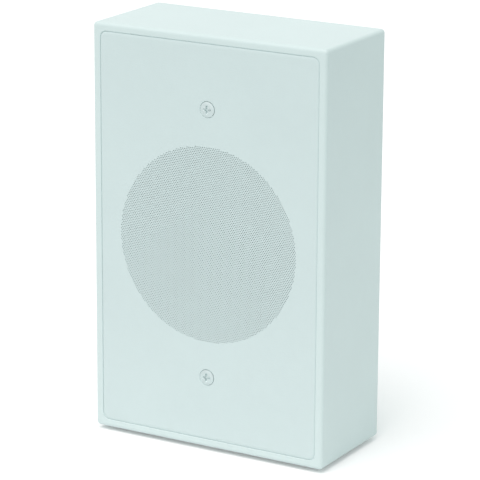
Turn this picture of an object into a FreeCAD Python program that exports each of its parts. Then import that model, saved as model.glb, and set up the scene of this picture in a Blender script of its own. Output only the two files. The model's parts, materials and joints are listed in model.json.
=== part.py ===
import FreeCAD, Part
import math
import os

# Wall speaker: a moulded back box, an inset perforated front panel and a cone loudspeaker behind it.
# Millimetres, +Z up. The wall plane is Y = 0 and the front faces -Y; the origin is the centre of the back.
# "Depth" below is measured from the front face towards the wall.

# Hidden round pieces are many-sided, so that the whole part stays light
turned_sides = 32
peg_sides = 12
flat_tolerance = 1e-4

# Front panel and its round field of holes
panel_thickness = 3.0
panel_seam = 0.3
panel_edge_break = 0.6
field_radius = 48.5
hole_pitch = 8.0
hole_across_corners = 4.4

# Moulded back box
side_wall = 4.0
back_wall = 4.0
front_edge_round = 1.0
side_space = 6.5
end_space = 35.5
rear_space = 7.0
corner_rest = 7.0

# Panel screws and the posts that take them
screw_shank_radius = 1.9
screw_head_radius = 3.8
screw_head_height = 1.9
screw_head_recess = 1.4
screw_length = 14.0
screw_bevel = 0.6
recess_slot_width = 1.0
recess_slot_share = 1.2
recess_slot_depth = 1.0
post_wall = 3.0
post_side_gap = 8.1
pilot_spare = 2.0

# Fits
thread_clearance = 0.1
hole_clearance = 0.4
head_clearance = 0.5
glue_gap = 0.3

# Wall fixing and cable entry
wall_hole_radius = 2.5
wall_hole_inset = 13.5
cable_hole_radius = 7.0
cable_hole_from_post = 28.0

# Loudspeaker frame
frame_sheet = 1.0
frame_margin = 1.0
frame_corner_clip = 6.0
frame_screw_inset = 6.5
frame_foot_radius = 24.5
frame_height = 20.0
frame_wall_slant = 1.35
foot_hole_radius = 13.0
window_count = 4
window_angle = 52.0
window_border = 4.2
tag_shelf_width = 16.0
tag_shelf_reach = 11.0
tag_shelf_above_foot = 6.5

# Foam ring between the frame and the panel
gasket_width = 3.3
gasket_thickness = 5.0
gasket_step = 0.2

# Small screws that hold the frame to bosses on the panel
frame_screw_radius = 1.25
frame_screw_head_radius = 2.8
frame_screw_head_height = 1.8
frame_screw_length = 6.0
boss_wall = 2.0

# Moving system
lip_seat_width = 2.9
surround_lip = 0.5
surround_rise = 2.5
surround_width = 10.5
cone_overlap = 1.6
cone_rim_drop = 0.2
cone_thickness = 0.7
coil_radius = 10.0
former_thickness = 0.4
former_tail = 0.5
winding_thickness = 0.65
winding_length = 6.0
winding_glue = 0.05
dust_cap_radius = 13.0
dust_cap_rise = 4.4
dust_cap_thickness = 0.5
dust_cap_bands = 3
spider_thickness = 0.5
spider_rise = 2.4
spider_rim_inset = 0.9
neck_above_spider = 1.0

# Magnet system
air_gap_inside = 0.6
air_gap_outside = 0.8
pole_plate_thickness = 4.0
pole_plate_overhang = 0.4
magnet_thickness = 9.0
pot_wall = 6.1
pot_floor = 4.0

# Solder tags on the frame
tag_strip_thickness = 1.6
tag_width = 3.2
tag_thickness = 0.6
tag_length = 11.0
tag_spacing = 9.0
tag_overhang = 4.0

# Terminal block on the back wall
block_width = 26.0
block_length = 14.0
block_height = 12.0
block_from_post = 28.0
block_post_drop = 6.0
pole_spacing = 15.0
clamp_size = 6.0
clamp_wire_radius = 1.7
clamp_clearance = 0.2
clamp_above_wall = 2.0
clamp_screw_radius = 1.5
clamp_screw_head_radius = 1.9
clamp_screw_head_height = 1.6
clamp_screw_bite = 2.0
clamp_screw_spacing = 7.0
clamp_slot_width = 0.7
clamp_slot_depth = 0.7
block_screw_radius = 1.4
block_screw_head_radius = 2.4
block_screw_head_height = 1.6
block_screw_bite = 3.0
block_screw_seat = 6.0

# Depths worked out from the front face
panel_back = panel_thickness
frame_front = panel_back + gasket_thickness
frame_back = frame_front + frame_sheet
foot_front = frame_front + frame_height
foot_back = foot_front + frame_sheet
plate_back = foot_back + pole_plate_thickness
pot_floor_front = plate_back + magnet_thickness
pot_back = pot_floor_front + pot_floor
back_wall_front = pot_back + rear_space
case_depth = back_wall_front + back_wall

# Sizes across, worked out from the loudspeaker outwards
gasket_inner = field_radius + gasket_step
gasket_outer = gasket_inner + gasket_width
frame_half = gasket_outer + frame_margin
frame_screw_offset = frame_half - frame_screw_inset
inner_half_width = frame_half + side_space
case_width = 2 * (inner_half_width + side_wall)
post_radius = screw_shank_radius + thread_clearance + post_wall
panel_screw_offset = frame_half + post_side_gap + post_radius
case_height = 2 * (panel_screw_offset + end_space)
inner_half_height = case_height / 2 - side_wall
wall_hole_x = inner_half_width - wall_hole_inset
wall_hole_z = inner_half_height - wall_hole_inset

# Radii of the moving system, worked out from its outer lip and its coil
lip_outer = gasket_inner - glue_gap
mouth_radius = lip_outer - lip_seat_width
lip_inner = lip_outer - surround_width
cone_edge_radius = lip_inner + cone_overlap
former_outer = coil_radius + former_thickness
neck_radius = former_outer + glue_gap
winding_inner = former_outer + winding_glue
winding_outer = winding_inner + winding_thickness
pole_radius = coil_radius - air_gap_inside
pot_inner = winding_outer + air_gap_outside
pot_outer = pot_inner + pot_wall
cone_front = frame_front + cone_rim_drop
neck_back = foot_front - spider_rise - spider_thickness - neck_above_spider
neck_front = neck_back - cone_thickness
cone_depth = neck_front - cone_front
cone_slope = cone_depth / (cone_edge_radius - neck_radius)
winding_front = foot_back + pole_plate_thickness / 2 - winding_length / 2
winding_back = winding_front + winding_length

# Terminal block, from the back wall forwards
terminal_z = -(panel_screw_offset + block_post_drop)
block_front = back_wall_front - block_height
clamp_back = back_wall_front - clamp_above_wall
clamp_front = clamp_back - clamp_size
clamp_screw_top = clamp_front - clamp_screw_head_height
block_seat = back_wall_front - block_screw_seat


def y_at(depth):
    """Y of a depth measured from the front face."""
    return depth - case_depth


def slab(width, height, depth_from, depth_to, x=0.0, z=0.0):
    """Upright slab centred on x and z, between two depths."""
    corner = FreeCAD.Vector(x - width / 2, y_at(depth_from), z - height / 2)
    return Part.makeBox(width, depth_to - depth_from, height, corner)


def rod(radius, depth_from, depth_to, x=0.0, z=0.0):
    """Round bar along the depth axis."""
    start = FreeCAD.Vector(x, y_at(depth_from), z)
    return Part.makeCylinder(radius, depth_to - depth_from, start, FreeCAD.Vector(0, 1, 0))


def around(radius, depth, sides, x=0.0, z=0.0):
    """Corners of a regular polygon across the depth axis, with its flats at the radius."""
    reach = radius / math.cos(math.pi / sides)
    points = []
    for corner in range(sides):
        angle = (corner + 0.5) * 2 * math.pi / sides
        points.append(FreeCAD.Vector(x + reach * math.cos(angle), y_at(depth), z + reach * math.sin(angle)))
    return points


def peg(radius, depth_from, depth_to, x=0.0, z=0.0):
    """Many-sided bar along the depth axis, for hidden pins, bosses and their holes."""
    points = around(radius, depth_from, peg_sides, x, z)
    base = Part.Face(Part.makePolygon(points + [points[0]]))
    return base.extrude(FreeCAD.Vector(0, depth_to - depth_from, 0))


def facet(points):
    """Flat face through the points, with repeated points dropped."""
    outline = []
    for point in points:
        if not outline or point.distanceToPoint(outline[-1]) > flat_tolerance:
            outline.append(point)
    if outline[0].distanceToPoint(outline[-1]) < flat_tolerance:
        outline.pop()
    return Part.Face(Part.makePolygon(outline + [outline[0]]))


def turned(profile):
    """Many-sided solid about the speaker's axis from the (radius, depth) corners of its section."""
    rings = [around(radius, depth, turned_sides) for radius, depth in profile]
    faces = []
    for index, (radius, _) in enumerate(profile):
        following = (index + 1) % len(profile)
        if radius == 0 and profile[following][0] == 0:
            continue
        here = rings[index]
        there = rings[following]
        for side in range(turned_sides):
            beside = (side + 1) % turned_sides
            faces.append(facet([here[side], here[beside], there[beside], there[side]]))
    solid = Part.Solid(Part.Shell(faces)).removeSplitter()
    if solid.Volume < 0:
        solid.reverse()
    return solid


def ring(inner, outer, depth_from, depth_to):
    """Plain ring about the speaker's axis."""
    return turned([(inner, depth_from), (outer, depth_from), (outer, depth_to), (inner, depth_to)])


def disc(radius, depth_from, depth_to):
    """Plain disc about the speaker's axis."""
    return turned([(0, depth_from), (radius, depth_from), (radius, depth_to), (0, depth_to)])


def edges_at(shape, depth):
    """Edges of a shape that lie flat at a depth."""
    level = y_at(depth)
    flat = []
    for edge in shape.Edges:
        reach = max(abs(edge.BoundBox.YMin - level), abs(edge.BoundBox.YMax - level))
        if reach < flat_tolerance:
            flat.append(edge)
    return flat


def corners(offset_x, offset_z):
    """The four corner places of a rectangle about the axis."""
    return [(side_x * offset_x, side_z * offset_z) for side_x in (-1, 1) for side_z in (-1, 1)]


def panel_screw_places():
    """Below and above the field of holes, on the upright centre line."""
    return [(0.0, -panel_screw_offset), (0.0, panel_screw_offset)]


def frame_screw_places():
    """One near each corner of the frame's flange."""
    return corners(frame_screw_offset, frame_screw_offset)


def back_box():
    """Moulded tray: side walls, back, panel posts, corner rests and the holes for wall screws and cable."""
    block = slab(case_width, case_height, 0, case_depth)
    block = block.makeFillet(front_edge_round, edges_at(block, 0))
    block = block.cut(slab(2 * inner_half_width, 2 * inner_half_height, 0, back_wall_front))
    rests = []
    for x, z in corners(inner_half_width - corner_rest / 2, inner_half_height - corner_rest / 2):
        rests.append(slab(corner_rest, corner_rest, panel_back, back_wall_front, x, z))
    posts = [peg(post_radius, panel_back, back_wall_front, x, z) for x, z in panel_screw_places()]
    block = block.fuse(rests + posts)
    pilot_end = screw_head_recess + screw_length + pilot_spare
    cuts = []
    for x, z in panel_screw_places():
        cuts.append(peg(screw_shank_radius + thread_clearance, 0, pilot_end, x, z))
    for x, z in corners(wall_hole_x, wall_hole_z):
        cuts.append(rod(wall_hole_radius, back_wall_front, case_depth, x, z))
    cuts.append(rod(cable_hole_radius, back_wall_front, case_depth, -cable_hole_from_post, terminal_z))
    block_pilot_end = back_wall_front + block_screw_bite
    block_pilot = block_screw_radius + thread_clearance
    cuts.append(peg(block_pilot, back_wall_front, block_pilot_end, block_from_post, terminal_z))
    return block.cut(cuts).removeSplitter()


def hole_places():
    """Centres of the panel's holes: a triangular grid, kept to whole holes inside the round field."""
    row_step = hole_pitch * math.sqrt(3) / 2
    reach = field_radius - hole_across_corners / 2
    row_reach = int(reach / row_step)
    places = []
    for row in range(-row_reach, row_reach + 1):
        shift = hole_pitch / 2 if row % 2 else 0.0
        count = int(reach / hole_pitch) + 1
        for column in range(-count, count + 1):
            x = column * hole_pitch + shift
            z = row * row_step
            if math.hypot(x, z) <= reach:
                places.append((x, z))
    return places


def six_sided_hole(x, z):
    """Six-sided punch through the panel."""
    radius = hole_across_corners / 2
    points = []
    for corner in range(7):
        angle = math.radians(60 * corner + 30)
        points.append(FreeCAD.Vector(x + radius * math.cos(angle), y_at(0), z + radius * math.sin(angle)))
    return Part.Face(Part.makePolygon(points)).extrude(FreeCAD.Vector(0, panel_thickness, 0))


def front_panel():
    """Flat panel with a bevelled front edge, two screw seats, the field of holes and four bosses behind."""
    width = 2 * (inner_half_width - panel_seam)
    height = 2 * (inner_half_height - panel_seam)
    plate = slab(width, height, 0, panel_back)
    plate = plate.makeChamfer(panel_edge_break, edges_at(plate, 0))
    boss_radius = frame_screw_radius + thread_clearance + boss_wall
    bosses = [peg(boss_radius, panel_back, frame_front, x, z) for x, z in frame_screw_places()]
    plate = plate.fuse(bosses)
    cuts = [six_sided_hole(x, z) for x, z in hole_places()]
    for x, z in panel_screw_places():
        cuts.append(rod(screw_shank_radius + hole_clearance, 0, panel_back, x, z))
        cuts.append(rod(screw_head_radius + head_clearance, 0, screw_head_recess, x, z))
    pilot_front = frame_back - frame_screw_length - thread_clearance
    for x, z in frame_screw_places():
        cuts.append(peg(frame_screw_radius + thread_clearance, pilot_front, frame_front, x, z))
    return plate.cut(cuts).removeSplitter()


def panel_screw(x, z):
    """Pan-head screw with a cross recess, driven from the front."""
    seat = screw_head_recess
    top = seat - screw_head_height
    head = rod(screw_head_radius, top, seat, x, z)
    head = head.makeChamfer(screw_bevel, edges_at(head, top))
    shank = peg(screw_shank_radius, seat, seat + screw_length, x, z)
    slot_length = 2 * screw_shank_radius * recess_slot_share
    slots = [
        slab(slot_length, recess_slot_width, top, top + recess_slot_depth, x, z),
        slab(recess_slot_width, slot_length, top, top + recess_slot_depth, x, z),
    ]
    return head.fuse(shank).cut(slots).removeSplitter()


def panel_screws():
    return Part.makeCompound([panel_screw(x, z) for x, z in panel_screw_places()])


def driver_gasket():
    """Foam ring pressed between the loudspeaker's frame and the panel."""
    return ring(gasket_inner, gasket_outer, panel_back, frame_front)


def frame_window(angle):
    """Cutter for one window in the frame's sloping wall: a wedge between two radii."""
    outer = mouth_radius - window_border
    inner = frame_foot_radius + window_border
    points = []
    for radius, side in ((inner, -0.5), (outer, -0.5), (outer, 0.5), (inner, 0.5)):
        turn = math.radians(angle + side * window_angle)
        points.append(FreeCAD.Vector(radius * math.cos(turn), y_at(frame_back), radius * math.sin(turn)))
    return facet(points).extrude(FreeCAD.Vector(0, foot_back - frame_back, 0))


def frame_wall_radius(depth):
    """Radius of the inside of the frame's sloping wall at a depth."""
    return mouth_radius - (mouth_radius - frame_foot_radius) * (depth - frame_front) / frame_height


def tag_shelf_depth():
    """Depth of the back of the ear that carries the solder tags."""
    return foot_front - tag_shelf_above_foot


def tag_shelf():
    """Flat ear on the frame, below the magnet, that carries the solder tags."""
    back = tag_shelf_depth()
    front = back - frame_sheet
    root = frame_wall_radius(front) + frame_wall_slant / 2
    tip = root + tag_shelf_reach
    return slab(tag_shelf_width, tip - root, front, back, 0, -(root + tip) / 2)


def driver_basket():
    """Pressed frame: square flange, sloping wall with windows, foot that holds the magnet pot."""
    flange = slab(2 * frame_half, 2 * frame_half, frame_front, frame_back)
    uprights = [edge for edge in flange.Edges if edge.BoundBox.YLength > frame_sheet / 2]
    flange = flange.makeChamfer(frame_corner_clip, uprights)
    flange = flange.cut(disc(mouth_radius, frame_front, frame_back))
    wall = turned([
        (mouth_radius, frame_front),
        (frame_foot_radius, foot_front),
        (foot_hole_radius, foot_front),
        (foot_hole_radius, foot_back),
        (frame_foot_radius + frame_wall_slant / 2, foot_back),
        (mouth_radius + frame_wall_slant, frame_back),
        (mouth_radius + frame_wall_slant, frame_front),
    ])
    cuts = [frame_window(45 + step * 360 / window_count) for step in range(window_count)]
    for x, z in frame_screw_places():
        cuts.append(peg(frame_screw_radius + hole_clearance, frame_front, frame_back, x, z))
    return flange.fuse([wall, tag_shelf()]).cut(cuts).removeSplitter()


def frame_screw(x, z):
    """Small pan-head screw, driven from behind through the frame into a boss of the panel."""
    head = peg(frame_screw_head_radius, frame_back, frame_back + frame_screw_head_height, x, z)
    shank = peg(frame_screw_radius, frame_back - frame_screw_length, frame_back, x, z)
    return head.fuse(shank).removeSplitter()


def driver_screws():
    return Part.makeCompound([frame_screw(x, z) for x, z in frame_screw_places()])


def surround():
    """Flexible edge: a single ridge from the frame's flange to the rim of the cone."""
    crest = lip_outer - surround_width / 2
    crest_depth = frame_front - surround_lip - surround_rise
    inner_back = cone_front + cone_slope * cone_overlap - glue_gap
    return turned([
        (lip_outer, frame_front),
        (lip_outer, frame_front - surround_lip),
        (crest, crest_depth),
        (lip_inner, inner_back - surround_lip),
        (lip_inner, inner_back),
        (crest, crest_depth + surround_lip),
    ])


def cone():
    """Paper cone from its rim to the neck round the voice coil."""
    return turned([
        (cone_edge_radius, cone_front),
        (cone_edge_radius, cone_front + cone_thickness),
        (neck_radius, neck_back),
        (neck_radius, neck_front),
    ])


def cone_face_depth(radius):
    """Depth of the cone's front face at a radius."""
    return cone_front + cone_slope * (cone_edge_radius - radius)


def dome_depth(radius, rim_radius, rim_depth, rise):
    """Depth of a shallow dome at a radius: it stands forward by rise at the axis and meets its rim."""
    return rim_depth - rise * (1 - (radius / rim_radius) ** 2)


def dust_cap():
    """Domed shell glued over the cone's neck."""
    rim_depth = cone_face_depth(dust_cap_radius) - glue_gap
    shares = [step / dust_cap_bands for step in range(dust_cap_bands, -1, -1)]
    outer = []
    inner = []
    inner_rim = dust_cap_radius - dust_cap_thickness
    inner_rise = dust_cap_rise - dust_cap_thickness
    for share in shares:
        outer_radius = share * dust_cap_radius
        inner_radius = share * inner_rim
        outer.append((outer_radius, dome_depth(outer_radius, dust_cap_radius, rim_depth, dust_cap_rise)))
        inner.append((inner_radius, dome_depth(inner_radius, inner_rim, rim_depth, inner_rise)))
    return turned(outer + inner[::-1])


def voice_coil_former():
    """Thin tube that joins the cone to the winding."""
    return ring(coil_radius, former_outer, neck_front - cone_thickness, winding_back + former_tail)


def voice_coil_winding():
    """Copper winding, half in front of and half behind the middle of the pole plate."""
    return ring(winding_inner, winding_outer, winding_front, winding_back)


def spider():
    """Centring ring from the foot of the frame up to the voice coil."""
    rim_radius = frame_foot_radius - spider_rim_inset
    rim_back = foot_front
    inner_back = rim_back - spider_rise
    return turned([
        (rim_radius, rim_back - spider_thickness),
        (rim_radius, rim_back),
        (neck_radius, inner_back),
        (neck_radius, inner_back - spider_thickness),
    ])


def magnet_pot():
    """Steel cup round the magnet; its rim is the outer side of the air gap."""
    return turned([
        (pot_inner, foot_back),
        (pot_outer, foot_back),
        (pot_outer, pot_back),
        (0, pot_back),
        (0, pot_floor_front),
        (pot_inner, pot_floor_front),
    ])


def magnet():
    """Disc magnet on the floor of the pot."""
    return disc(pole_radius - pole_plate_overhang, plate_back, pot_floor_front)


def pole_plate():
    """Steel disc on the magnet; its edge is the inner side of the air gap."""
    return disc(pole_radius, foot_back, plate_back)


def tag_strip_places():
    """Depth of the strip's front and the z of its middle."""
    shelf_front = tag_shelf_depth() - frame_sheet
    root = frame_wall_radius(shelf_front) + frame_wall_slant / 2
    return tag_shelf_depth(), -(root + tag_shelf_reach / 2 + frame_wall_slant)


def tag_strip():
    """Insulating strip on the frame's ear."""
    front, middle = tag_strip_places()
    height = tag_shelf_reach - 2 * frame_wall_slant
    return slab(tag_shelf_width, height, front, front + tag_strip_thickness, 0, middle)


def solder_tags():
    """Two tinned tags on the strip, reaching past its lower edge."""
    front, middle = tag_strip_places()
    tag_front = front + tag_strip_thickness
    lower_edge = middle - tag_shelf_reach / 2 + frame_wall_slant
    tag_middle = lower_edge - tag_overhang + tag_length / 2
    tags = []
    for side in (-1, 1):
        x = side * tag_spacing / 2
        tags.append(slab(tag_width, tag_length, tag_front, tag_front + tag_thickness, x, tag_middle))
    return Part.makeCompound(tags)


def pole_places():
    """X of each pole of the terminal block."""
    return [block_from_post + side * pole_spacing / 2 for side in (-1, 1)]


def clamp_screw_places():
    """Each pole has one screw for the house cable and one for the speaker's lead."""
    offset = clamp_screw_spacing / 2
    return [(x, terminal_z + side * offset) for x in pole_places() for side in (-1, 1)]


def upright_peg(radius, length, x, depth, z):
    """Many-sided bar along Z, centred on z."""
    bar = peg(radius, depth, depth + length, x, z)
    bar.rotate(FreeCAD.Vector(x, y_at(depth), z), FreeCAD.Vector(1, 0, 0), 90)
    bar.translate(FreeCAD.Vector(0, 0, -length / 2))
    return bar


def terminal_block():
    """Moulded block with a channel for each clamp, screw wells above them and one fixing hole."""
    body = slab(block_width, block_length, block_front, back_wall_front, block_from_post, terminal_z)
    channel = clamp_size + 2 * clamp_clearance
    channel_front = clamp_front - clamp_clearance
    cuts = []
    for x in pole_places():
        cuts.append(slab(channel, block_length, channel_front, channel_front + channel, x, terminal_z))
    for x, z in clamp_screw_places():
        cuts.append(peg(clamp_screw_head_radius + clamp_clearance, block_front, channel_front, x, z))
    fixing = block_screw_radius + hole_clearance
    cuts.append(peg(fixing, block_front, back_wall_front, block_from_post, terminal_z))
    fixing_head = block_screw_head_radius + hole_clearance
    cuts.append(peg(fixing_head, block_front, block_seat, block_from_post, terminal_z))
    return body.cut(cuts).removeSplitter()


def terminal_clamps():
    """Brass bars in the block's channels, bored for the wires and the clamp screws."""
    clamps = []
    for x in pole_places():
        bar = slab(clamp_size, block_length, clamp_front, clamp_back, x, terminal_z)
        bore_depth = (clamp_front + clamp_back) / 2
        cuts = [upright_peg(clamp_wire_radius, block_length, x, bore_depth, terminal_z)]
        for screw_x, screw_z in clamp_screw_places():
            bite = clamp_front + clamp_screw_bite
            cuts.append(peg(clamp_screw_radius + thread_clearance, clamp_front, bite, screw_x, screw_z))
        clamps.append(bar.cut(cuts).removeSplitter())
    return Part.makeCompound(clamps)


def clamp_screw(x, z):
    """Slotted screw that presses a wire in its clamp."""
    head = peg(clamp_screw_head_radius, clamp_screw_top, clamp_front, x, z)
    shank = peg(clamp_screw_radius, clamp_front, clamp_front + clamp_screw_bite, x, z)
    slot_end = clamp_screw_top + clamp_slot_depth
    slot = slab(2 * clamp_screw_head_radius, clamp_slot_width, clamp_screw_top, slot_end, x, z)
    return head.fuse(shank).cut(slot).removeSplitter()


def terminal_screws():
    return Part.makeCompound([clamp_screw(x, z) for x, z in clamp_screw_places()])


def block_screw():
    """Screw that holds the terminal block to the back wall."""
    top = block_seat - block_screw_head_height
    head = peg(block_screw_head_radius, top, block_seat, block_from_post, terminal_z)
    end = back_wall_front + block_screw_bite
    shank = peg(block_screw_radius, block_seat, end, block_from_post, terminal_z)
    slot_end = top + clamp_slot_depth
    slot = slab(2 * block_screw_head_radius, clamp_slot_width, top, slot_end, block_from_post, terminal_z)
    return head.fuse(shank).cut(slot).removeSplitter()


pieces = {
    "back_box": back_box,
    "front_panel": front_panel,
    "panel_screws": panel_screws,
    "driver_basket": driver_basket,
    "driver_gasket": driver_gasket,
    "driver_screws": driver_screws,
    "surround": surround,
    "cone": cone,
    "dust_cap": dust_cap,
    "voice_coil_former": voice_coil_former,
    "voice_coil_winding": voice_coil_winding,
    "spider": spider,
    "magnet_pot": magnet_pot,
    "magnet": magnet,
    "pole_plate": pole_plate,
    "tag_strip": tag_strip,
    "solder_tags": solder_tags,
    "terminal_block": terminal_block,
    "terminal_clamps": terminal_clamps,
    "terminal_screws": terminal_screws,
    "block_screw": block_screw,
}

os.makedirs("parts", exist_ok=True)
for node, make in pieces.items():
    make().exportStep("parts/" + node + ".step")
print("width, depth and height of the box:", case_width, case_depth, case_height)
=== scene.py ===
"""Wall speaker: rounded mouldings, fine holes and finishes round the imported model.
Metres, +Z up, front faces -Y."""
import json
import math

import bmesh
import bpy
import numpy as np
from mathutils import Matrix, Vector
from mathutils.geometry import delaunay_2d_cdt


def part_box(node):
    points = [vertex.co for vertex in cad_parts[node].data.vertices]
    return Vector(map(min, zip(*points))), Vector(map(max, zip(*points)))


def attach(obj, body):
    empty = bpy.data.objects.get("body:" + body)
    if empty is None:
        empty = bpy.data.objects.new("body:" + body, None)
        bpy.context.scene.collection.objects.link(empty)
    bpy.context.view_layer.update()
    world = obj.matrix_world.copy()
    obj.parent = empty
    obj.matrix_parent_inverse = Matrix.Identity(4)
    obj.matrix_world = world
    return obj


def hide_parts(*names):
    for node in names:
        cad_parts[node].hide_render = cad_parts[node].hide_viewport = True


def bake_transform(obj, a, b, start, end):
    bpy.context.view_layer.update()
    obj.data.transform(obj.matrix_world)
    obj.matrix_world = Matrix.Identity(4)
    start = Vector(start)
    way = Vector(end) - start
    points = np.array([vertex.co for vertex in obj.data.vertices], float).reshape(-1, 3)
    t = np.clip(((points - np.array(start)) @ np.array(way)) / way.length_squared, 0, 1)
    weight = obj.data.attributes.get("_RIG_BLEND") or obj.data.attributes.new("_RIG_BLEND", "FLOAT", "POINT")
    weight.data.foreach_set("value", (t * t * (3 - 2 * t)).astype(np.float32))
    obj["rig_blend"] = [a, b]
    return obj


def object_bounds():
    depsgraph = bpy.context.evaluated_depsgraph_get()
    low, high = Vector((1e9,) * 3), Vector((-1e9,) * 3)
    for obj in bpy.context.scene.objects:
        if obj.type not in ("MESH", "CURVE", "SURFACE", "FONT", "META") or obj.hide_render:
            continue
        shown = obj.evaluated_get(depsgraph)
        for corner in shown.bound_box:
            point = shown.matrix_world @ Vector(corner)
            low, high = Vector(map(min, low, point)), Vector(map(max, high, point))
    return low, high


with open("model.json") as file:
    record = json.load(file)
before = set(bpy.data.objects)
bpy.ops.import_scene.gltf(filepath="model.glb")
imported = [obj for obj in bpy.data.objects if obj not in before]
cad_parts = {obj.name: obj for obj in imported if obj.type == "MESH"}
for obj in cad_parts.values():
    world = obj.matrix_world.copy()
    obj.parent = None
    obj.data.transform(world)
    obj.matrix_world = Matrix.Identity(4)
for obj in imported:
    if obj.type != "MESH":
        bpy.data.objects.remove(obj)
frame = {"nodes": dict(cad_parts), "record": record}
cad_low, cad_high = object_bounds()
nodes = frame["nodes"]
mounts = {mount["name"]: mount for mount in frame["record"]["mounts"]}

MM = 0.001

# Depths below are measured from the panel's front face towards the wall
box_low, box_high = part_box("back_box")
panel_low, panel_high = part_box("front_panel")
panel_front = panel_low.y


def span(node):
    """Front depth, back depth and reach to the side of a node."""
    low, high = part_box(node)
    return low.y - panel_front, high.y - panel_front, high.x


# The box and its panel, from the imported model; the panel grows into its gap, which leaves a fine seam
rim_front, case_back, half_width = span("back_box")
half_height = box_high.z
panel_growth = 0.25 * MM
panel_half_width = panel_high.x + panel_growth
panel_half_height = panel_high.z + panel_growth
panel_back, frame_front, gasket_outer = span("driver_gasket")
boss_end = span("front_panel")[1]
panel_seam = 0.05 * MM
opening_half_width = panel_half_width + panel_seam
opening_half_height = panel_half_height + panel_seam

# Moulded edges
rim_round = 1.6 * MM
back_edge_round = 0.6 * MM
inner_edge_round = 0.4 * MM
panel_edge_width = 1.6 * MM
panel_edge_drop = 0.5 * MM
outer_corner_round = 2.0 * MM
opening_corner_round = 3.45 * MM
panel_corner_round = 3.4 * MM
mouth_round = 0.25 * MM
flat_margin = 0.25 * MM
post_foot_round = 0.8 * MM
edge_steps = 5
corner_steps = 7

# Inside of the box
back_wall = 4.0 * MM
corner_rest = 7.0 * MM
post_radius = 5.0 * MM
pilot_radius = 2.0 * MM
pilot_end = 17.4 * MM
block_pilot_radius = 1.5 * MM
block_pilot_bite = 3.0 * MM
floor_depth = case_back - back_wall

# Panel screws
screw_head_radius = span("panel_screws")[2]
screw_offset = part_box("panel_screws")[1].z - screw_head_radius
screw_head_height = 1.9 * MM
screw_seat = 1.4 * MM
screw_shank_radius = 1.9 * MM
screw_length = 14.0 * MM
screw_thread_pitch = 1.4 * MM
screw_seat_gap = 0.15 * MM
screw_hole_gap = 0.4 * MM
screw_seat_radius = screw_head_radius + screw_seat_gap
screw_hole_radius = screw_shank_radius + screw_hole_gap

# Form of every screw: shares of its head, recess or shank, powers, and turns of thread
head_rim_share = 0.72
dome_power = 2.6
recess_width_share = 0.12
recess_reach_share = 0.50
recess_depth_share = 0.40
recess_side_slope = 0.4
recess_end_slope = 0.35
thread_depth_share = 0.16
thread_power = 1.5
thread_fade_turns = 2
point_share = 1.5
tip_share = 0.25

# Round field of fine holes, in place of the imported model's coarse ones
field_margin = 3.5 * MM
field_radius = gasket_outer - field_margin
fine_pitch = 1.0 * MM
fine_hole_radius = 0.33 * MM
fine_hole_sides = 4

# Bosses behind the panel and the small screws in them
small_head_radius = 2.8 * MM
small_head_height = 1.8 * MM
small_shank_radius = 1.25 * MM
small_screw_length = 6.0 * MM
small_thread_pitch = 1.0 * MM
boss_offset = span("driver_screws")[2] - small_head_radius
boss_radius = 3.35 * MM
boss_pilot_radius = 1.35 * MM
boss_pilot_end = 2.9 * MM

# Loudspeaker
gasket_width = 3.3 * MM
gasket_inner = gasket_outer - gasket_width
gasket_edge_round = 0.6 * MM
lip_seat_width = 2.9 * MM
cone_overlap = 1.6 * MM
shell_gap = 0.3 * MM
surround_thickness = 0.5 * MM
cone_thickness = 0.7 * MM
cone_rib_height = 0.12 * MM
cone_ribs = 4
cone_rib_start = 0.12
cone_rib_end = 0.80
cone_rib_fade = 6
cap_thickness = 0.5 * MM
former_thickness = 0.4 * MM
winding_inner_gap = 0.05 * MM
wire_pitch = 0.3 * MM
wire_groove = 0.12 * MM
spider_thickness = 0.5 * MM
spider_wave = 0.42 * MM
spider_waves = 4
spider_wave_end = 0.90
spider_wave_fade = 5
pot_inner_gap = 0.8 * MM
pot_floor = 4.0 * MM
pot_edge = 0.8 * MM
plate_edge = 0.3 * MM

# Steps round and along the turned pieces
turned_sides = 96
peg_sides = 48
screw_sides = 72
head_rings = 36
thread_steps = 8
wire_steps = 6
section_steps = 64
spider_steps = 96
cap_steps = 20

# Joining, triangulation and shading of the meshes
weld_distance = 1e-6
merge_millimetres = 1e-6
inside_only = 1
crease_degrees = 35
soft_crease_degrees = 60

# Camera fitted to the box's corners in the photograph, for a square picture
camera_turn = math.radians(30.13)
camera_rise = math.radians(15.88)
camera_roll = math.radians(0.31)
camera_distance = 1335.8 * MM
camera_aside = 1.51 * MM
camera_drop = 3.98 * MM
camera_lens = 207.3
camera_sensor = 36.0

# Light and floor
world_strength = 0.58
world_colour = (0.895, 1.0, 0.99)
sun_strength = 1.74
sun_colour = (1.0, 0.90, 0.90)
sun_softness = math.radians(50)
sun_direction = Vector((0.02, 0.46, -1.0))
floor_before = 0.85
floor_right = 0.5
floor_beyond = 1.8
floor_drop = 2.0 * MM
floor_glow = 0.18

# Colours in linear light
case_colour = (0.710, 0.830, 0.825)
panel_colour = (0.680, 0.795, 0.795)
# The panel screws' zinc is darker than plain zinc and tinted mint: a painted reflection of the mint panel
# around them
panel_screw_colour_with_painted_reflection = (0.62, 0.71, 0.71)
zinc_colour = (0.66, 0.68, 0.68)
black_paint_colour = (0.018, 0.018, 0.019)
foam_colour = (0.020, 0.020, 0.021)
rubber_colour = (0.016, 0.016, 0.016)
paper_colour = (0.030, 0.029, 0.028)
card_colour = (0.34, 0.20, 0.09)
copper_colour = (0.72, 0.30, 0.14)
cloth_colour = (0.46, 0.30, 0.11)
nickel_colour = (0.66, 0.65, 0.62)
board_colour = (0.19, 0.085, 0.032)
brass_colour = (0.74, 0.58, 0.28)
block_colour = (0.74, 0.73, 0.68)
floor_colour = (0.93, 0.93, 0.93)
white = (1.0, 1.0, 1.0)


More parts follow.
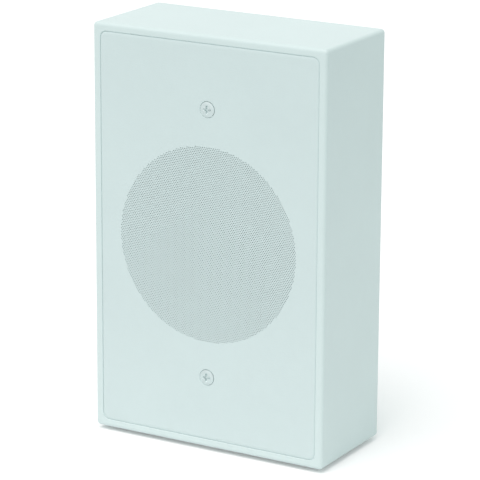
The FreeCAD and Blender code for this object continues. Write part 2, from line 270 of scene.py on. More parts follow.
# Shader nodes
class Shade:
    """One output socket of a finish. Operators on it add Math nodes, and make() adds any other node."""

    def __init__(self, tree, socket):
        self.tree = tree
        self.socket = socket

    def make(self, kind, inputs, output=0, **settings):
        """Adds a node of a kind: its settings first, then the values or links of its inputs."""
        node = self.tree.nodes.new(kind)
        for name, value in settings.items():
            setattr(node, name, value)
        for name, value in inputs.items():
            feed(self.tree, node.inputs[name], value)
        return Shade(self.tree, node.outputs[output]) if node.outputs else None

    def math(self, operation, first, second):
        """Math node on two values or links."""
        return self.make("ShaderNodeMath", {0: first, 1: second}, operation=operation)

    def __add__(self, other):
        return self.math("ADD", self, other)

    def __radd__(self, other):
        return self.math("ADD", other, self)

    def __mul__(self, other):
        return self.math("MULTIPLY", self, other)

    def __rmul__(self, other):
        return self.math("MULTIPLY", other, self)

    def noise(self, scale, detail=2.0, roughness=0.5):
        """Smooth noise from 0 to 1 on this coordinate."""
        inputs = {"Vector": self, "Scale": scale, "Detail": detail, "Roughness": roughness}
        return self.make("ShaderNodeTexNoise", inputs)

    def between(self, low, high):
        """Colour mixed from low to high by this value: 6, 7 and output 2 are the sockets for colours."""
        inputs = {0: self, 6: (*low, 1.0), 7: (*high, 1.0)}
        return self.make("ShaderNodeMix", inputs, output=2, data_type="RGBA")

    def bump(self, distance, strength):
        """Normal of a surface raised by this height times the distance."""
        return self.make("ShaderNodeBump", {"Height": self, "Distance": distance, "Strength": strength})


def feed(tree, socket, value):
    """Links a Shade to a socket, or sets a plain value on it."""
    if isinstance(value, Shade):
        tree.links.new(value.socket, socket)
    else:
        socket.default_value = value


def dress(shader, place, **sockets):
    """Feeds values or links into the shader's sockets, named with a line for each space."""
    for socket, value in sockets.items():
        feed(place.tree, shader.inputs[socket.replace("_", " ")], value)


def bare_finish(name, **constants):
    """Material with its shader, whose plain sockets are set, and the coordinate of a place on the piece."""
    material = bpy.data.materials.new(name)
    material.use_nodes = True
    tree = material.node_tree
    shader = tree.nodes["Principled BSDF"]
    place = Shade(tree, tree.nodes.new("ShaderNodeTexCoord").outputs["Object"])
    dress(shader, place, **constants)
    return material, shader, place


def toned(colour, factor):
    """The same colour, darker or lighter by a factor."""
    return tuple(min(1.0, channel * factor) for channel in colour)


# Functions that make a finish
def moulded_plastic(name, colour, least_roughness):
    """Satin moulded plastic: a fine spark-eroded grain, faint flow mottling and uneven gloss."""
    material, shader, place = bare_finish(name, IOR=1.5)
    flow = place.noise(scale=26.0, detail=3.0)
    grain = place.noise(scale=1900.0, detail=3.0, roughness=0.6)
    patches = place.noise(scale=180.0, detail=2.0)
    tone = flow * 0.5 + patches * 0.25 + grain * 0.25
    dress(
        shader, place,
        Base_Color=tone.between(toned(colour, 0.95), toned(colour, 1.05)),
        Roughness=least_roughness + patches * 0.10 + grain * 0.06,
        Normal=(grain + patches * 0.3).bump(distance=0.08 * MM, strength=0.8),
    )
    return material


def plated_metal(name, colour, least_roughness):
    """Zinc or nickel plate, or tinned brass: a cloudy bloom and fine scuffs on bright metal."""
    material, shader, place = bare_finish(name, Metallic=1.0)
    bloom = place.noise(scale=420.0, detail=4.0, roughness=0.6)
    scuffs = place.noise(scale=3800.0, detail=1.0)
    dress(
        shader, place,
        Base_Color=bloom.between(toned(colour, 0.86), toned(colour, 1.08)),
        Roughness=least_roughness + bloom * 0.16 + scuffs * 0.05,
        Normal=scuffs.bump(distance=0.006 * MM, strength=0.4),
    )
    return material


def painted_sheet(name, colour):
    """Pressed sheet under a thin black baked paint, with a slight orange peel and dust."""
    material, shader, place = bare_finish(name)
    peel = place.noise(scale=900.0, detail=2.0)
    dust = place.noise(scale=60.0, detail=4.0)
    dress(
        shader, place,
        Base_Color=dust.between(colour, toned(colour, 2.2)),
        Roughness=0.34 + dust * 0.14,
        Normal=peel.bump(distance=0.03 * MM, strength=0.5),
    )
    return material


def cell_foam(name, colour):
    """Closed-cell foam: small dark cells over the whole surface."""
    material, shader, place = bare_finish(name)
    cells = place.make("ShaderNodeTexVoronoi", {"Vector": place, "Scale": 1600.0})
    dress(
        shader, place,
        Base_Color=cells.between(toned(colour, 0.6), toned(colour, 2.0)),
        Roughness=0.82 + cells * 0.12,
        Normal=cells.bump(distance=0.12 * MM, strength=0.7),
    )
    return material


def soft_rubber(name, colour):
    """Matt rubber with a powdery bloom."""
    material, shader, place = bare_finish(name)
    bloom = place.noise(scale=110.0, detail=4.0, roughness=0.6)
    dress(
        shader, place,
        Base_Color=bloom.between(colour, toned(colour, 1.9)),
        Roughness=0.62 + bloom * 0.18,
        Normal=place.noise(scale=1500.0, detail=2.0).bump(distance=0.02 * MM, strength=0.5),
    )
    return material


def pressed_paper(name, colour):
    """Dark felted pulp: short fibres in the colour and the surface."""
    material, shader, place = bare_finish(name)
    fibres = place.noise(scale=1400.0, detail=5.0, roughness=0.7)
    clumps = place.noise(scale=240.0, detail=3.0)
    dress(
        shader, place,
        Base_Color=(fibres * 0.6 + clumps * 0.4).between(toned(colour, 0.6), toned(colour, 1.9)),
        Roughness=0.78 + fibres * 0.16,
        Normal=(fibres + clumps * 0.5).bump(distance=0.09 * MM, strength=0.8),
    )
    return material


def fibre_board(name, colour, least_roughness):
    """Brown card or resin board with pale fibres."""
    material, shader, place = bare_finish(name)
    fibres = place.noise(scale=1300.0, detail=5.0, roughness=0.65)
    dress(
        shader, place,
        Base_Color=fibres.between(toned(colour, 0.75), toned(colour, 1.3)),
        Roughness=least_roughness + fibres * 0.16,
        Normal=fibres.bump(distance=0.03 * MM, strength=0.6),
    )
    return material


def enamelled_wire(name, colour):
    """Copper under clear enamel: metal with a smooth coat and slight tarnish."""
    material, shader, place = bare_finish(name, Metallic=1.0, Coat_Weight=0.6, Coat_Roughness=0.12)
    tarnish = place.noise(scale=300.0, detail=3.0)
    dress(
        shader, place,
        Base_Color=tarnish.between(toned(colour, 0.8), toned(colour, 1.1)),
        Roughness=0.24 + tarnish * 0.14,
    )
    return material


def resin_cloth(name, colour):
    """Open-weave cloth stiffened with resin: crossed threads in the height and the colour."""
    material, shader, place = bare_finish(name)
    wave = {"Vector": place, "Scale": 420.0, "Distortion": 0.6}
    warp = place.make("ShaderNodeTexWave", wave, output=1, bands_direction="X")
    weft = place.make("ShaderNodeTexWave", wave, output=1, bands_direction="Z")
    threads = warp * 0.5 + weft * 0.5
    dress(
        shader, place,
        Base_Color=threads.between(toned(colour, 0.65), toned(colour, 1.2)),
        Roughness=0.70 + threads * 0.12,
        Normal=threads.bump(distance=0.12 * MM, strength=0.8),
    )
    return material


def straight_rays(tree):
    """1 for a ray from the camera, a mirror or glass, and 0 for one that only carries light."""
    path = tree.nodes.new("ShaderNodeLightPath")
    names = ("Is Camera Ray", "Is Glossy Ray", "Is Transmission Ray")
    seen, mirrored, refracted = [Shade(tree, path.outputs[name]) for name in names]
    return seen + mirrored + refracted


def pale_floor(name):
    """Pale floor that looks white where it is lit and keeps the shadow where the speaker meets it."""
    material = bpy.data.materials.new(name)
    material.use_nodes = True
    tree = material.node_tree
    tree.nodes.clear()
    shown = straight_rays(tree)
    lit = shown.make("ShaderNodeBsdfDiffuse", {"Color": (*floor_colour, 1.0)})
    glow = shown.make("ShaderNodeEmission", {"Color": (*white, 1.0), "Strength": floor_glow})
    bright = shown.make("ShaderNodeAddShader", {0: lit, 1: glow})
    mixed = shown.make("ShaderNodeMixShader", {0: shown, 1: lit, 2: bright})
    shown.make("ShaderNodeOutputMaterial", {"Surface": mixed})
    return material


# Loops and meshes
def lift(loop, depth):
    """A loop in the X-Z plane put at a depth behind the panel's front face."""
    level = np.broadcast_to(panel_front + depth, loop.shape[:-1])
    return np.stack([loop[..., 0], level, loop[..., 1]], axis=-1)


def flattened(ring):
    """The loop in the X-Z plane of a ring at some depth."""
    return ring[:, [0, 2]]


def equal_angles(sides):
    """Angles of equal steps round a full turn."""
    return np.arange(sides) * 2 * np.pi / sides


def circle(radius, sides, x=0.0, z=0.0):
    """Circle in the X-Z plane: its centre plus the radius times cosine and sine of equal angles."""
    angle = equal_angles(sides)
    return np.stack([x + radius * np.cos(angle), z + radius * np.sin(angle)], axis=-1)


def four_corners(corner):
    """One corner's points mirrored into all four, in turn round the middle."""
    return np.concatenate([corner, (corner * (-1, 1))[::-1], -corner, (corner * (1, -1))[::-1]])


def rounded_loop(half_x, half_z, radius):
    """Rectangle with a quarter circle at each corner, and one more point beside it each way, where a rest
    ends."""
    angle = np.linspace(0, np.pi / 2, corner_steps)
    centre = np.array([half_x - radius, half_z - radius])
    arc = centre + radius * np.stack([np.cos(angle), np.sin(angle)], axis=-1)
    before = [(half_x, half_z - corner_rest)]
    after = [(half_x - corner_rest, half_z)]
    return four_corners(np.concatenate([before, arc, after]))


def notched_loop(half_x, half_z):
    """Rectangle with a square of one rest cut out of each corner."""
    inner_x = half_x - corner_rest
    inner_z = half_z - corner_rest
    return four_corners(np.array([(half_x, inner_z), (inner_x, inner_z), (inner_x, half_z)]))


def quarter_round(width, drop=None):
    """Distances in from the side and back from the face, along a quarter circle from the face to the side, or
    along a quarter ellipse where a drop is given."""
    angle = np.linspace(0, np.pi / 2, edge_steps)
    return width * (1 - np.sin(angle)), (drop or width) * (1 - np.cos(angle))


def flat_region(outer, holes):
    """Triangles inside the outer loop and outside the holes: all loops are triangulated together with their
    edges kept, and every triangle whose three corners lie on one hole is left out."""
    loops = [outer, *holes]
    sizes = np.array([len(loop) for loop in loops])
    points = np.concatenate(loops)
    owner = np.repeat(np.arange(len(loops)), sizes)
    first = np.repeat(np.cumsum(sizes) - sizes, sizes)
    here = np.arange(len(points))
    beside = first + (here - first + 1) % np.repeat(sizes, sizes)
    corners = [Vector(point) for point in (points / MM).tolist()]
    edges = np.stack([here, beside], axis=-1).tolist()
    _, _, faces, sources, _, _ = delaunay_2d_cdt(corners, edges, [], inside_only, merge_millimetres)
    order = np.array([source[0] for source in sources])
    triangles = order[np.array(faces)]
    owners = owner[triangles]
    in_hole = (np.ptp(owners, axis=1) == 0) & (owners[:, 0] > 0)
    return points, triangles[~in_hole]


class Skin:
    """Gathers the points and faces of one piece."""

    def __init__(self):
        self.points = []
        self.faces = []
        self.count = 0

    def add(self, points, faces):
        """Adds points, and faces that number those points from nought."""
        self.points.append(points)
        self.faces.extend((faces + self.count).tolist())
        self.count += len(points)

    def band(self, rings):
        """Quads between successive closed rings, for an array of (..., rings, points, 3)."""
        rows, columns = rings.shape[-3:-1]
        corner = np.arange(rows * columns).reshape(rows, columns)
        beside = np.roll(corner, -1, axis=1)
        quads = np.stack([corner[:-1], beside[:-1], beside[1:], corner[1:]], axis=-1).reshape(-1, 4)
        copies = rings.reshape(-1, rows * columns, 3)
        first = np.arange(len(copies)) * rows * columns
        self.add(copies.reshape(-1, 3), (first[:, None, None] + quads).reshape(-1, 4))

    def fill(self, outer, holes, depth):
        """Flat region between loops, at a depth."""
        points, triangles = flat_region(outer, holes)
        self.add(lift(points, depth), triangles)

    def turn(self, section, sides, x=0.0, z=0.0):
        """Each (radius, depth) of a section carried round an axis in equal angles."""
        self.band(np.stack([lift(circle(radius, sides, x, z), depth) for radius, depth in section]))


def piece(name, skin, finish, replaced, body="case", crease=crease_degrees):
    """Object of a skin: doubles welded, faces turned outwards, smooth except at creases, riding on a body."""
    mesh = bpy.data.meshes.new(name)
    mesh.from_pydata(np.concatenate(skin.points).tolist(), [], skin.faces)
    welded = bmesh.new()
    welded.from_mesh(mesh)
    bmesh.ops.remove_doubles(welded, verts=welded.verts, dist=weld_distance)
    bmesh.ops.recalc_face_normals(welded, faces=welded.faces)
    welded.to_mesh(mesh)
    welded.free()
    mesh.polygons.foreach_set("use_smooth", np.ones(len(mesh.polygons), dtype=bool))
    mesh.set_sharp_from_angle(angle=math.radians(crease))
    mesh.materials.append(finish)
    thing = bpy.data.objects.new(name, mesh)
    bpy.context.scene.collection.objects.link(thing)
    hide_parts(replaced)
    if body:
        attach(thing, body)
    return thing


# Box
def box_wall(skin):
    """Rim, sides and back edge: rounded rectangles at successive depths, from the rests inside to the back.
    A narrow margin beside each rounded edge keeps the shading of the flat faces flat. Gives the last loop."""
    lip_out, lip_back = quarter_round(inner_edge_round)
    rim_in, rim_back = quarter_round(rim_round)
    foot_in, foot_back = quarter_round(back_edge_round)
    opening = [(0.0, panel_back)]
    opening += zip(lip_out[::-1], rim_front + lip_back[::-1])
    opening += [(inner_edge_round + flat_margin, rim_front)]
    outside = [(rim_round + flat_margin, rim_front)]
    outside += zip(rim_in, rim_front + rim_back)
    outside += [(0.0, rim_front + rim_round + flat_margin), (0.0, case_back - back_edge_round - flat_margin)]
    outside += zip(foot_in[::-1], case_back - foot_back[::-1])
    outside += [(back_edge_round + flat_margin, case_back)]
    rings = []
    for out, depth in opening:
        loop = rounded_loop(opening_half_width + out, opening_half_height + out, opening_corner_round + out)
        rings.append(lift(loop, depth))
    for inset, depth in outside:
        loop = rounded_loop(half_width - inset, half_height - inset, outer_corner_round - inset)
        rings.append(lift(loop, depth))
    skin.band(np.stack(rings))
    return flattened(rings[-1])


def box_rests(skin):
    """Four square rests in the opening's corners, level with the panel's back. Gives the loop inside them."""
    opening = rounded_loop(opening_half_width, opening_half_height, opening_corner_round)
    notch = notched_loop(opening_half_width, opening_half_height)
    for corner, tip in zip(opening.reshape(4, -1, 2), notch.reshape(4, 3, 2)[:, 1]):
        outline = np.concatenate([corner, [tip]])
        skin.add(lift(outline, panel_back), np.arange(len(outline))[None])
    skin.band(np.stack([lift(notch, panel_back), lift(notch, floor_depth)]))
    return notch


def post_section():
    """Section of a screw post: a hollow round at its foot, the plain post, its top and a blind hole."""
    out, up = quarter_round(post_foot_round)
    foot = [*zip(post_radius + out, floor_depth - up)]
    top = [(post_radius, panel_back), (pilot_radius, panel_back), (pilot_radius, pilot_end), (0.0, pilot_end)]
    return foot + top


def back_wall_holes():
    """Place and radius of the four wall holes and the cable hole."""
    screws = mounts["wall_screws"]["dims"]
    cable = mounts["cable_entry"]
    x = screws["spacing_x_mm"] / 2 * MM
    z = screws["spacing_y_mm"] / 2 * MM
    holes = [(x * across, z * along, screws["hole_r_mm"] * MM) for across in (-1, 1) for along in (-1, 1)]
    return holes + [(cable["pos_m"][0], cable["pos_m"][2], cable["dims"]["r_mm"] * MM)]


def block_pilot(skin):
    """Blind hole in the back wall for the terminal block's screw. Gives its loop."""
    low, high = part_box("block_screw")
    place = ((low.x + high.x) / 2, (low.z + high.z) / 2)
    end = floor_depth + block_pilot_bite
    section = [(block_pilot_radius, floor_depth), (block_pilot_radius, end), (0.0, end)]
    skin.turn(section, peg_sides, *place)
    return circle(block_pilot_radius, peg_sides, *place)


def back_box():
    """Moulded tray: rounded rim and sides, corner rests, two screw posts, wall holes and the cable hole."""
    skin = Skin()
    outline = box_wall(skin)
    notch = box_rests(skin)
    floor_holes = []
    back_holes = []
    for x, z, radius in back_wall_holes():
        mouth = radius + mouth_round
        section = [(radius, floor_depth), (radius, case_back - mouth_round), (mouth, case_back)]
        skin.turn(section, peg_sides, x, z)
        floor_holes.append(circle(radius, peg_sides, x, z))
        back_holes.append(circle(mouth, peg_sides, x, z))
    floor_holes.append(block_pilot(skin))
    for side in (-1, 1):
        skin.turn(post_section(), peg_sides, 0.0, side * screw_offset)
        floor_holes.append(circle(post_radius + post_foot_round, peg_sides, 0.0, side * screw_offset))
    skin.fill(notch, floor_holes, floor_depth)
    skin.fill(outline, back_holes, case_back)
    return skin


# Panel
def fine_hole_places():
    """Triangular grid: rows half of root three of the pitch apart, every second row shifted by half a pitch,
    kept where the whole hole lies inside the field."""
    row_step = fine_pitch * math.sqrt(3) / 2
    reach = math.ceil(field_radius / row_step)
    steps = np.arange(-reach, reach + 1)
    x = steps * fine_pitch + (steps % 2)[:, None] * fine_pitch / 2
    z = np.broadcast_to((steps * row_step)[:, None], x.shape)
    places = np.stack([x, z], axis=-1).reshape(-1, 2)
    return places[np.hypot(places[:, 0], places[:, 1]) + fine_hole_radius <= field_radius]


def boss_places():
    """Four corners of a square, where the frame is screwed to the panel."""
    return [(x, z) for x in (-boss_offset, boss_offset) for z in (-boss_offset, boss_offset)]


def panel_edge(skin):
    """Rounded rectangles from the flat of the front, down the falling edge, to the back. Gives the first and
    the last loop."""
    edge = [*zip(*quarter_round(panel_edge_width, panel_edge_drop))]
    rings = []
    for inset, depth in [(panel_edge_width + flat_margin, 0.0), *edge, (0.0, panel_back)]:
        loop = rounded_loop(panel_half_width - inset, panel_half_height - inset, panel_corner_round - inset)
        rings.append(lift(loop, depth))
    skin.band(np.stack(rings))
    return flattened(rings[0]), flattened(rings[-1])


def seat_section():
    """Section of a panel screw's seat and hole, from the front to the back."""
    return [
        (screw_seat_radius + mouth_round, 0.0),
        (screw_seat_radius, mouth_round),
        (screw_seat_radius, screw_seat),
        (screw_hole_radius, screw_seat),
        (screw_hole_radius, panel_back),
    ]


def boss_section():
    """Section of a boss behind the panel: its side, its end and a blind hole."""
    return [
        (boss_radius, panel_back),
        (boss_radius, boss_end),
        (boss_pilot_radius, boss_end),
        (boss_pilot_radius, boss_pilot_end),
        (0.0, boss_pilot_end),
    ]


def front_panel():
    """Inset panel: a softly falling edge, the field of fine holes, two screw seats and four bosses behind."""
    skin = Skin()
    front, back = panel_edge(skin)
    fine = fine_hole_places()[:, None] + circle(fine_hole_radius, fine_hole_sides)
    skin.band(np.stack([lift(fine, 0.0), lift(fine, panel_back)], axis=1))
    front_holes = list(fine)
    back_holes = list(fine)
    for side in (-1, 1):
        place = (0.0, side * screw_offset)
        skin.turn(seat_section(), peg_sides, *place)
        front_holes.append(circle(screw_seat_radius + mouth_round, peg_sides, *place))
        back_holes.append(circle(screw_hole_radius, peg_sides, *place))
    for place in boss_places():
        skin.turn(boss_section(), peg_sides, *place)
        back_holes.append(circle(boss_radius, peg_sides, *place))
    skin.fill(front, front_holes, 0.0)
    skin.fill(back, back_holes, panel_back)
    return skin


# Screws
def cross_recess(across, along, width, reach, depth):
    """Depth of a cross recess: full near either axis, sloping up at the arms' sides and ends."""
    near = np.minimum(np.abs(across), np.abs(along))
    far = np.maximum(np.abs(across), np.abs(along))
    side = np.clip((width - near) / (recess_side_slope * width) + 0.5, 0, 1)
    end = np.clip((reach - far) / (recess_end_slope * reach) + 0.5, 0, 1)
    return depth * side * end


def helix(along, pitch, angle):
    """Swings from 0 to 1 and back once in each pitch, turning with the angle."""
    return 0.5 - 0.5 * np.cos(2 * np.pi * along / pitch - angle)


def screw_head(angle, head_radius, head_height):
    """Radius and height of a head's rings: the rim's height plus a dome's, which falls off with a power of
    the radius, less the cross recess. The last ring is the edge under the head."""
    share = np.linspace(0, 1, head_rings)[:, None]
    radius = head_radius * share * np.ones_like(angle)
    rim_height = head_rim_share * head_height
    dome = rim_height + (head_height - rim_height) * (1 - share ** dome_power)
    width = recess_width_share * head_radius
    reach = recess_reach_share * head_radius
    depth = recess_depth_share * head_height
    height = dome - cross_recess(radius * np.cos(angle), radius * np.sin(angle), width, reach, depth)
    edge = np.full((1, len(angle)), head_radius)
    return np.concatenate([radius, edge]), np.concatenate([height, 0 * edge])


def screw_shank(angle, shank_radius, length, pitch):
    """Radius and height of a shank's rings: the radius swings once in each pitch, turning with the angle,
    less so just under the head. The last two rings are the blunt tip."""
    threaded = length - point_share * shank_radius
    turns = round(threaded / pitch)
    down = np.linspace(0, threaded, turns * thread_steps + 1)[:, None]
    fade = np.clip(down / (thread_fade_turns * pitch), 0, 1)
    swing = helix(down, pitch, angle)
    thread = shank_radius * (1 - thread_depth_share * swing ** thread_power * fade)
    level = np.ones_like(angle)
    tip = np.array([[tip_share * shank_radius], [0.0]]) * level
    return np.concatenate([thread, tip]), np.concatenate([-down * level, np.full_like(tip, -length)])


def screw(skin, place, seat, towards, head, shank):
    """Screw at a place, with its head on a seat: rings of the head and then of the shank. The head points
    towards the front at -1 and towards the wall at 1."""
    angle = equal_angles(screw_sides)
    rings = zip(screw_head(angle, *head), screw_shank(angle, *shank))
    radius, height = [np.concatenate(parts) for parts in rings]
    x = place[0] + radius * np.cos(angle)
    z = place[1] + radius * np.sin(angle)
    skin.band(np.stack([x, panel_front + seat + towards * height, z], axis=-1))


def panel_screws():
    """Two pan-head screws through the panel into the posts."""
    skin = Skin()
    head = (screw_head_radius, screw_head_height)
    shank = (screw_shank_radius, screw_length, screw_thread_pitch)
    for side in (-1, 1):
        screw(skin, (0.0, side * screw_offset), screw_seat, -1, head, shank)
    return skin


def driver_screws():
    """Four small pan-head screws from behind, through the frame's flange into the panel's bosses."""
    skin = Skin()
    seat = span("driver_screws")[1] - small_head_height
    head = (small_head_radius, small_head_height)
    shank = (small_shank_radius, small_screw_length, small_thread_pitch)
    for place in boss_places():
        screw(skin, place, seat, 1, head, shank)
    return skin


# Turned pieces of the loudspeaker
def line(radius, depth):
    """Pairs of radius and depth."""
    return np.stack(np.broadcast_arrays(radius, depth), axis=-1)


def turned(section):
    """Turned piece whose section starts and ends on the axis."""
    skin = Skin()
    skin.turn(section, turned_sides)
    return skin


def turned_ring(face, back):
    """Turned ring whose section runs along its face and returns along its back."""
    return turned(np.concatenate([face, back[::-1], face[:1]]))


def driver_gasket():
    """Foam ring between panel and frame, with softly rounded edges."""
    inset, back = quarter_round(gasket_edge_round)
    depth = np.concatenate([panel_back + back, frame_front - back[::-1]])
    inset = np.concatenate([inset, inset[::-1]])
    return turned_ring(line(gasket_outer - inset, depth), line(gasket_inner + inset, depth))


def neck_radius():
    """Radius where the cone and the spider meet the coil's tube."""
    return span("voice_coil_former")[2] + shell_gap


def window(share, start, end, steepness):
    """1 between two shares, with straight flanks that fall to 0 at both."""
    return np.clip((share - start) * steepness, 0, 1) * np.clip((end - share) * steepness, 0, 1)


def cone():
    """Paper cone: a straight slope from its rim to its neck, with a few low sine ribs between."""
    rim, neck_back, edge = span("cone")
    radius = np.linspace(edge, neck_radius(), section_steps)
    share = (edge - radius) / (edge - neck_radius())
    ribbed = window(share, cone_rib_start, cone_rib_end, cone_rib_fade)
    rib = cone_rib_height * ribbed * np.sin(2 * np.pi * cone_ribs * share)
    face = rim + (neck_back - cone_thickness - rim) * share - rib
    return turned_ring(line(radius, face), line(radius, face + cone_thickness))


def surround():
    """Flexible edge: a flat lip on the frame, a half-sine roll, and a lip that lies along the cone's rim."""
    crest, back, outer = span("surround")
    rim, _, edge = span("cone")
    inner = edge - cone_overlap
    roll_outer = outer - lip_seat_width
    lip = frame_front - surround_thickness
    edge_lip = rim - shell_gap - surround_thickness
    radius = np.linspace(inner, outer, section_steps)
    base_depths = [back - surround_thickness, edge_lip, lip, lip]
    base = np.interp(radius, [inner, edge, roll_outer, outer], base_depths)
    share = np.clip((radius - edge) / (roll_outer - edge), 0, 1)
    face = base - (edge_lip - crest) * np.sin(np.pi * share)
    return turned_ring(line(radius, face), line(radius, face + surround_thickness))


def dust_cap():
    """Domed shell over the cone's neck: its depth grows with the square of the radius."""
    crown, rim, outer = span("dust_cap")
    share = np.linspace(0, 1, cap_steps)
    inner = outer - cap_thickness
    inner_crown = crown + cap_thickness
    face = line(outer * share, crown + (rim - crown) * share ** 2)
    inside = line(inner * share, inner_crown + (rim - inner_crown) * share ** 2)
    return turned(np.concatenate([face, inside[::-1]]))


def voice_coil_former():
    """Thin card tube."""
    top, end, outer = span("voice_coil_former")
    depth = np.array([top, end])
    return turned_ring(line(outer, depth), line(outer - former_thickness, depth))


def voice_coil_winding():
    """Copper winding: the outer radius swings by a wire's groove in each pitch, turning with the angle."""
    top, end, outer = span("voice_coil_winding")
    inner = span("voice_coil_former")[2] + winding_inner_gap
    turns = round((end - top) / wire_pitch)
    depth = np.linspace(top, end, turns * wire_steps + 1)[:, None]
    angle = equal_angles(turned_sides)
    swing = helix(depth - top, wire_pitch, angle)
    bore = np.full((1, turned_sides), inner)
    radius = np.concatenate([bore, outer - wire_groove * (1 - swing), bore, bore])
    depth = np.concatenate([[[top]], depth, [[end]], [[top]]]) * np.ones(turned_sides)
    skin = Skin()
    skin.band(np.stack([radius * np.cos(angle), panel_front + depth, radius * np.sin(angle)], axis=-1))
    return skin


def spider():
    """Centring ring: a slope from the frame's foot to the coil, with sine corrugations that die out at both
    rims."""
    top, foot, outer = span("spider")
    radius = np.linspace(neck_radius(), outer, spider_steps)
    share = (radius - neck_radius()) / (outer - neck_radius())
    slope = top + (foot - spider_thickness - top) * share
    waved = window(share, 0.0, spider_wave_end, spider_wave_fade)
    face = slope + spider_wave * waved * np.sin(2 * np.pi * spider_waves * share)
    return turned_ring(line(radius, face), line(radius, face + spider_thickness))


def magnet_pot():
    """Steel cup with broken edges."""
    mouth, back, outer = span("magnet_pot")
    inner = span("voice_coil_winding")[2] + pot_inner_gap
    return turned([
        (0.0, back - pot_floor),
        (inner, back - pot_floor),
        (inner, mouth + plate_edge),
        (inner + plate_edge, mouth),
        (outer - plate_edge, mouth),
        (outer, mouth + plate_edge),
        (outer, back - pot_edge),
        (outer - pot_edge, back),
        (0.0, back),
    ])


def broken_edge_disc(node):
    """Turned disc with broken edges, in the place of a node."""
    face, back, outer = span(node)
    return turned([
        (0.0, face),
        (outer - plate_edge, face),
        (outer, face + plate_edge),
        (outer, back - plate_edge),
        (outer - plate_edge, back),
        (0.0, back),
    ])


def flex(thing, inner, outer):
    """Lets a ring follow the case at its outer rim and the cone at its inner rim: the share that follows the
    cone is the distance in from the outer rim over the ring's width, eased at both ends."""
    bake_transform(thing, "case", "cone_set", start=(outer, 0.0, 0.0), end=(inner, 0.0, 0.0))
    mesh = thing.data
    points = np.empty(len(mesh.vertices) * 3)
    mesh.vertices.foreach_get("co", points)
    points = points.reshape(-1, 3)
    share = np.clip((outer - np.hypot(points[:, 0], points[:, 2])) / (outer - inner), 0, 1)
    mesh.attributes["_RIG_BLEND"].data.foreach_set("value", share * share * (3 - 2 * share))


def refinish(finish, *names):
    """Gives CAD nodes that stay a finish."""
    for name in names:
        for place in nodes[name].material_slots:
            place.material = finish


# Finishes
case_finish = moulded_plastic("case_plastic", case_colour, least_roughness=0.40)
panel_finish = moulded_plastic("panel_plastic", panel_colour, least_roughness=0.44)
screw_finish = plated_metal("screw_zinc", zinc_colour, least_roughness=0.26)
# Zinc whose colour holds a painted reflection of the mint panel
panel_screw_finish = plated_metal("panel_screw_zinc", panel_screw_colour_with_painted_reflection, least_roughness=0.52)
pot_finish = plated_metal("pot_zinc", zinc_colour, least_roughness=0.30)
magnet_finish = plated_metal("magnet_nickel", nickel_colour, least_roughness=0.16)
brass_finish = plated_metal("tag_tinned_brass", brass_colour, least_roughness=0.24)
basket_finish = painted_sheet("frame_black_paint", black_paint_colour)
foam_finish = cell_foam("gasket_foam", foam_colour)
surround_finish = soft_rubber("surround_rubber", rubber_colour)
cone_finish = pressed_paper("cone_paper", paper_colour)
former_finish = fibre_board("former_card", card_colour, least_roughness=0.66)
strip_finish = fibre_board("strip_board", board_colour, least_roughness=0.42)
wire_finish = enamelled_wire("coil_copper", copper_colour)
spider_finish = resin_cloth("spider_cloth", cloth_colour)
block_finish = moulded_plastic("block_plastic", block_colour, least_roughness=0.38)

# Pieces
piece("rounded_back_box", back_box(), case_finish, "back_box")
piece("perforated_panel", front_panel(), panel_finish, "front_panel")
piece("cross_head_panel_screws", panel_screws(), panel_screw_finish, "panel_screws")
piece("cross_head_frame_screws", driver_screws(), screw_finish, "driver_screws")
piece("foam_ring", driver_gasket(), foam_finish, "driver_gasket")
piece("ribbed_cone", cone(), cone_finish, "cone", "cone_set")
piece("domed_dust_cap", dust_cap(), cone_finish, "dust_cap", "cone_set")
piece("card_coil_tube", voice_coil_former(), former_finish, "voice_coil_former", "cone_set")
piece("wound_coil", voice_coil_winding(), wire_finish, "voice_coil_winding", "cone_set")
piece("turned_pot", magnet_pot(), pot_finish, "magnet_pot")
piece("turned_magnet", broken_edge_disc("magnet"), magnet_finish, "magnet")
piece("turned_pole_plate", broken_edge_disc("pole_plate"), pot_finish, "pole_plate")
roll = piece(
    "half_roll_surround", surround(), surround_finish, "surround",
    body=None, crease=soft_crease_degrees,
)
flex(roll, span("cone")[2] - cone_overlap, span("surround")[2])
web = piece(
    "corrugated_spider", spider(), spider_finish, "spider",
    body=None, crease=soft_crease_degrees,
)
flex(web, neck_radius(), span("spider")[2])
refinish(basket_finish, "driver_basket")
refinish(strip_finish, "tag_strip")
refinish(brass_finish, "solder_tags", "terminal_clamps")
refinish(block_finish, "terminal_block")
refinish(screw_finish, "terminal_screws", "block_screw")


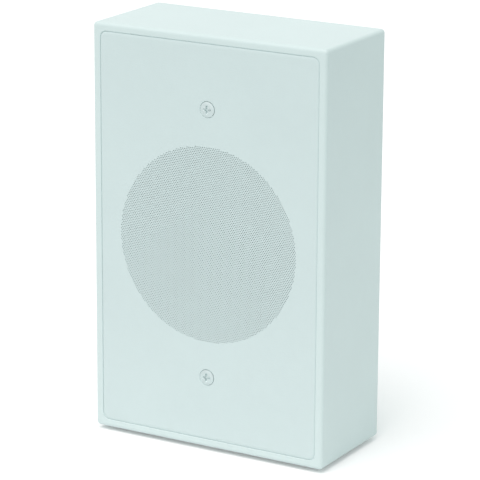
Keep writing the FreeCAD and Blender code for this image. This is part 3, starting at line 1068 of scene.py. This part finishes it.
# Floor, light and camera
def floor():
    """Level floor that fills the picture behind the speaker and ends not far in front of it and to its right.
    It lies a little below the box, so a thin dark line of shadow shows along the bottom."""
    level = box_low.z - floor_drop
    front = [(-floor_beyond, -floor_before, level), (floor_right, -floor_before, level)]
    behind = [(floor_right, floor_beyond, level), (-floor_beyond, floor_beyond, level)]
    mesh = bpy.data.meshes.new("floor")
    mesh.from_pydata(front + behind, [], [(0, 1, 2, 3)])
    mesh.materials.append(pale_floor("floor_white"))
    ground = bpy.data.objects.new("floor", mesh)
    bpy.context.scene.collection.objects.link(ground)


def light():
    """Even surroundings with a cool tint, seen as white, and one very soft and slightly warm sun from above
    and in front."""
    world = bpy.data.worlds.new("studio")
    bpy.context.scene.world = world
    world.use_nodes = True
    tree = world.node_tree
    tree.nodes.clear()
    shown = straight_rays(tree)
    tint = (*world_colour, 1.0)
    surroundings = shown.make("ShaderNodeBackground", {"Color": tint, "Strength": world_strength})
    backdrop = shown.make("ShaderNodeBackground", {"Color": (*white, 1.0), "Strength": 1.0})
    mixed = shown.make("ShaderNodeMixShader", {0: shown, 1: surroundings, 2: backdrop})
    shown.make("ShaderNodeOutputWorld", {"Surface": mixed})
    lamp = bpy.data.lights.new("sun", "SUN")
    lamp.energy = sun_strength
    lamp.color = sun_colour
    lamp.angle = sun_softness
    sun = bpy.data.objects.new("sun", lamp)
    sun.rotation_euler = sun_direction.to_track_quat("-Z", "Y").to_euler()
    bpy.context.scene.collection.objects.link(sun)


def camera():
    """Camera turned and raised about the box's middle, then rolled and moved aside in its own plane."""
    middle = (cad_low + cad_high) / 2
    level = math.cos(camera_rise)
    back = Vector((math.sin(camera_turn) * level, -math.cos(camera_turn) * level, math.sin(camera_rise)))
    right = Vector((math.cos(camera_turn), math.sin(camera_turn), 0.0))
    right = Matrix.Rotation(camera_roll, 3, back) @ right
    up = back.cross(right)
    lens = bpy.data.cameras.new("camera")
    lens.lens = camera_lens
    lens.sensor_width = camera_sensor
    viewer = bpy.data.objects.new("camera", lens)
    turn = Matrix((right, up, back)).transposed()
    place = middle + back * camera_distance + right * camera_aside - up * camera_drop
    viewer.matrix_world = Matrix.Translation(place) @ turn.to_4x4()
    bpy.context.scene.collection.objects.link(viewer)
    bpy.context.scene.camera = viewer


floor()
light()
camera()
bpy.context.scene.view_settings.view_transform = "Standard"
